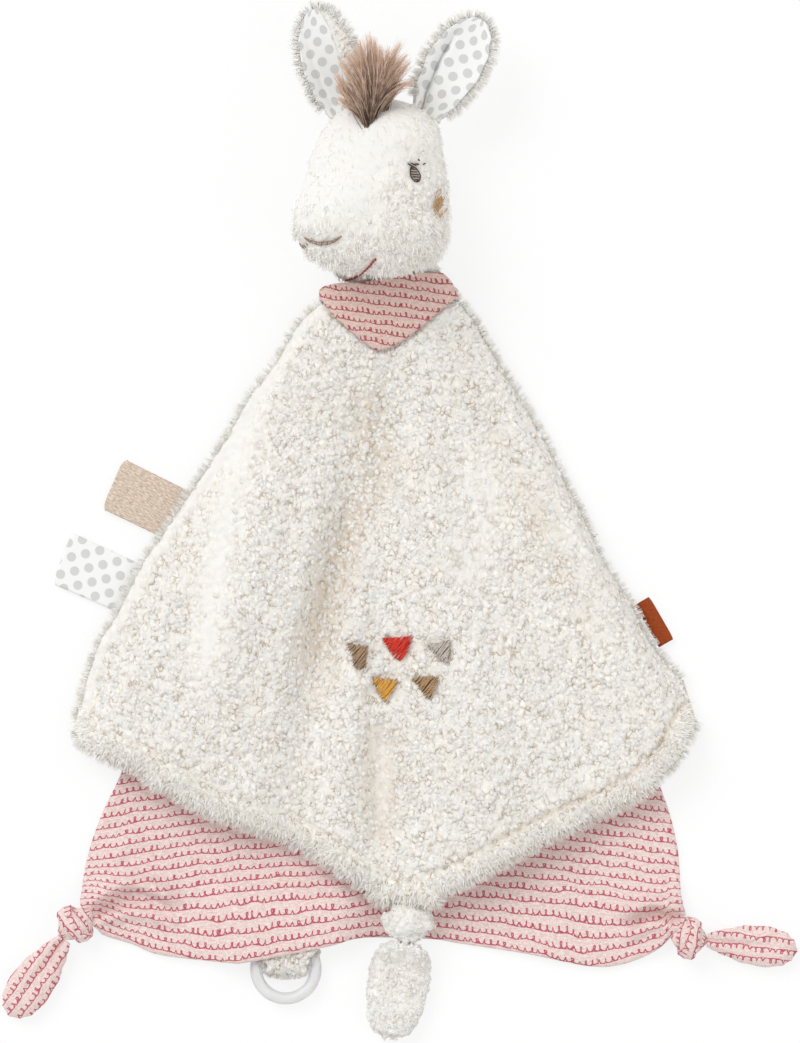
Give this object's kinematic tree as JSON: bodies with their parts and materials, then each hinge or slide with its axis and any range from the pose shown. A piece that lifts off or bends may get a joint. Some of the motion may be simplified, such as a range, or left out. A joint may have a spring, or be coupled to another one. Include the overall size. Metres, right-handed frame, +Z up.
{
  "type": "comfort blanket lovey",
  "caption": "Comfort blanket with a stuffed donkey-like head, a curly pile square over a printed jersey panel, knotted corners, ribbon tags and a ring in a strap.",
  "frame": {"origin": "middle of the bounding box's underside, on the surface that the toy lies on", "axes": "+Y towards the head and ears, +Z up out of the surface, +X towards the image's right"},
  "size_m": [0.413, 0.5382, 0.0707],
  "materials": {
    "sherpa_pile": "curly bouclé pile",
    "printed_jersey": "melange jersey with printed loop rows",
    "plain_jersey": "plain melange jersey",
    "dotted_cotton": "plain weave with printed dots",
    "fibre_filling": "loose fibre",
    "mane_pile": "long straight pile",
    "dark_thread": "satin stitch",
    "peach_thread": "satin stitch",
    "brown_thread": "satin stitch",
    "crimson_thread": "running stitch",
    "taupe_thread": "satin stitch",
    "red_thread": "satin stitch",
    "grey_thread": "satin stitch",
    "mustard_thread": "satin stitch",
    "tan_thread": "satin stitch",
    "velour_ribbon": "velour",
    "woven_ribbon": "woven satin ribbon, left bare",
    "translucent_plastic": "clear-moulded, slightly milky"
  },
  "bodies": {
    "cloths": {"lower_blanket_back": "printed_jersey", "lower_blanket_front": "printed_jersey", "front_blanket_lining": "plain_jersey", "front_blanket": "sherpa_pile", "neckerchief": "printed_jersey", "left_knot": "printed_jersey", "right_knot": "printed_jersey", "front_knot": "sherpa_pile", "pennant_taupe": "taupe_thread", "pennant_red": "red_thread", "pennant_grey": "grey_thread", "pennant_mustard": "mustard_thread", "pennant_tan": "tan_thread"},
    "head": {"head_shell": "sherpa_pile", "head_stuffing": "fibre_filling", "forelock": "mane_pile", "left_eye": "dark_thread", "right_eye": "dark_thread", "left_cheek": "peach_thread", "right_cheek": "peach_thread", "left_nostril": "brown_thread", "right_nostril": "brown_thread", "mouth": "crimson_thread"},
    "left_ear": {"left_ear_back": "sherpa_pile", "left_ear_lining": "dotted_cotton"},
    "right_ear": {"right_ear_back": "sherpa_pile", "right_ear_lining": "dotted_cotton"},
    "velour_tag": {"velour_tag": "velour_ribbon"},
    "dotted_tag": {"dotted_tag": "dotted_cotton"},
    "woven_label": {"woven_label": "woven_ribbon"},
    "strap": {"ring_strap": "sherpa_pile"},
    "ring": {"plastic_ring": "translucent_plastic"},
    "left_tail": {"left_tail": "printed_jersey"},
    "right_tail": {"right_tail": "printed_jersey"},
    "front_tail": {"front_tail": "sherpa_pile"}
  },
  "joints": [
    {"name": "head_nod", "type": "hinge", "parent": "cloths", "child": "head", "pos_m": [-0.00573, 0.12949, 0.013], "axis": [1, 0, 0], "range_deg": [-40, 3]},
    {"name": "left_ear_flop", "type": "hinge", "parent": "head", "child": "left_ear", "pos_m": [-0.02956, 0.21087, 0.02977], "axis": [0.9781, 0.2079, 0], "range_deg": [-28, 8]},
    {"name": "right_ear_flop", "type": "hinge", "parent": "head", "child": "right_ear", "pos_m": [0.01327, 0.21129, 0.02973], "axis": [0.8746, -0.4848, 0], "range_deg": [-28, 15]},
    {"name": "velour_tag_flap", "type": "hinge", "parent": "cloths", "child": "velour_tag", "pos_m": [-0.11431, 0.00238, 0.0014], "axis": [-0.5343, -0.8453, 0], "range_deg": [-75, 75]},
    {"name": "dotted_tag_flap", "type": "hinge", "parent": "cloths", "child": "dotted_tag", "pos_m": [-0.13835, -0.03622, 0.0011], "axis": [-0.5343, -0.8453, 0], "range_deg": [-75, 75]},
    {"name": "woven_label_flap", "type": "hinge", "parent": "cloths", "child": "woven_label", "pos_m": [0.12831, -0.05492, 0.00216], "axis": [-0.4988, 0.8667, 0], "range_deg": [-75, 75]},
    {"name": "strap_swing", "type": "hinge", "parent": "cloths", "child": "strap", "pos_m": [-0.05951, -0.21449, 0.0051], "axis": [1, 0, 0], "range_deg": [0, 75]},
    {"name": "ring_turn", "type": "hinge", "parent": "strap", "child": "ring", "pos_m": [-0.05951, -0.23329, 0.0051], "axis": [0, 0, 1], "continuous": true},
    {"name": "left_tail_swing", "type": "hinge", "parent": "cloths", "child": "left_tail", "pos_m": [-0.17501, -0.21787, 0.00864], "axis": [0, 0, 1], "range_deg": [-30, 30]},
    {"name": "right_tail_swing", "type": "hinge", "parent": "cloths", "child": "right_tail", "pos_m": [0.16018, -0.2181, 0.00864], "axis": [0, 0, 1], "range_deg": [-30, 30]},
    {"name": "front_tail_lift", "type": "hinge", "parent": "cloths", "child": "front_tail", "pos_m": [0.00264, -0.21983, 0.01248], "axis": [-0.9903, 0.1392, 0], "range_deg": [0, 60]}
  ]
}
